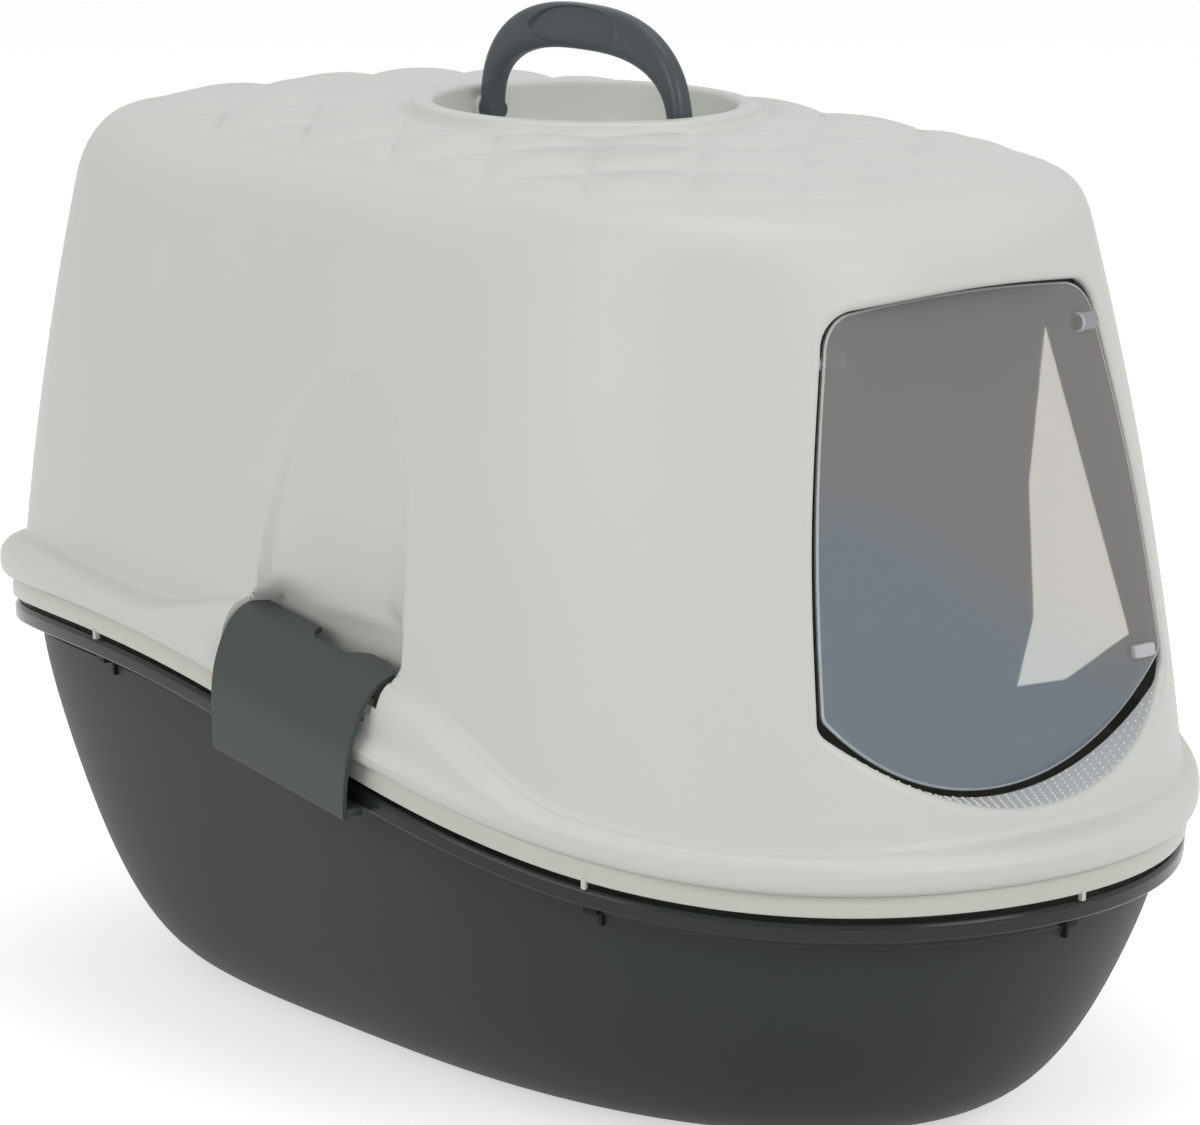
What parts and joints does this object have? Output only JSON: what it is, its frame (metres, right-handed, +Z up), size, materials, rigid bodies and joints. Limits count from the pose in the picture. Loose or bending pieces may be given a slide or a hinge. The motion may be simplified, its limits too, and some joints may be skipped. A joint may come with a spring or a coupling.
{
  "type": "hooded cat litter box",
  "caption": "Hooded cat litter box: boat-shaped base tray, lift-out sieve tray, domed hood with a swinging clear flap, a folding carry handle and side latches.",
  "frame": {"origin": "on the floor under the middle of the body's outline", "axes": "+Z up, the door faces -Y, +X to the right of someone who stands behind the box"},
  "size_m": [0.3956, 0.59, 0.448],
  "materials": {
    "tray": "satin dark grey",
    "sieve": "satin light warm grey",
    "hood": "satin light grey, quilted roof",
    "clip": "satin mid grey",
    "handle": "satin mid grey",
    "flap": "clear, slightly tinted"
  },
  "bodies": {
    "tray": {"base_tray": "tray"},
    "sieve": {"sieve_tray": "sieve"},
    "hood": {"hood_shell": "hood", "door_surround": "hood", "handle_pocket": "hood", "latch_seat_left": "hood", "latch_seat_right": "hood", "latch_pin_left": "clip", "latch_pin_right": "clip"},
    "flap": {"door_flap": "flap", "flap_pin_left": "flap", "flap_pin_right": "flap"},
    "carry_handle": {"handle": "handle", "handle_pin_front": "handle", "handle_pin_rear": "handle"},
    "left_latch": {"latch_left": "clip"},
    "right_latch": {"latch_right": "clip"}
  },
  "joints": [
    {"name": "hood_lift", "type": "slide", "parent": "tray", "child": "hood", "axis": [0, 0, 1], "range_m": [0, 0.36]},
    {"name": "sieve_lift", "type": "slide", "parent": "tray", "child": "sieve", "axis": [0, 0, 1], "range_m": [0, 0.18]},
    {"name": "flap_swing", "type": "hinge", "parent": "hood", "child": "flap", "pos_m": [0, -0.213, 0.331], "axis": [1, 0, 0], "range_deg": [-70, 75]},
    {"name": "handle_fold", "type": "hinge", "parent": "hood", "child": "carry_handle", "pos_m": [0, 0.02, 0.396], "axis": [0, 1, 0], "range_deg": [-90, 90]},
    {"name": "left_latch_open", "type": "hinge", "parent": "hood", "child": "left_latch", "pos_m": [-0.172, -0.0185, 0.19], "axis": [0, 0.9895, 0.1444], "range_deg": [0, 105]},
    {"name": "right_latch_open", "type": "hinge", "parent": "hood", "child": "right_latch", "pos_m": [0.172, -0.0185, 0.19], "axis": [0, -0.9895, -0.1444], "range_deg": [0, 105]}
  ],
  "couplings": [
    {"joint": "sieve_lift", "follows": "hood_lift", "ratio": 0.5},
    {"joint": "left_latch_open", "follows": "hood_lift", "rad_per_m": 5.09},
    {"joint": "right_latch_open", "follows": "hood_lift", "rad_per_m": 5.09}
  ]
}
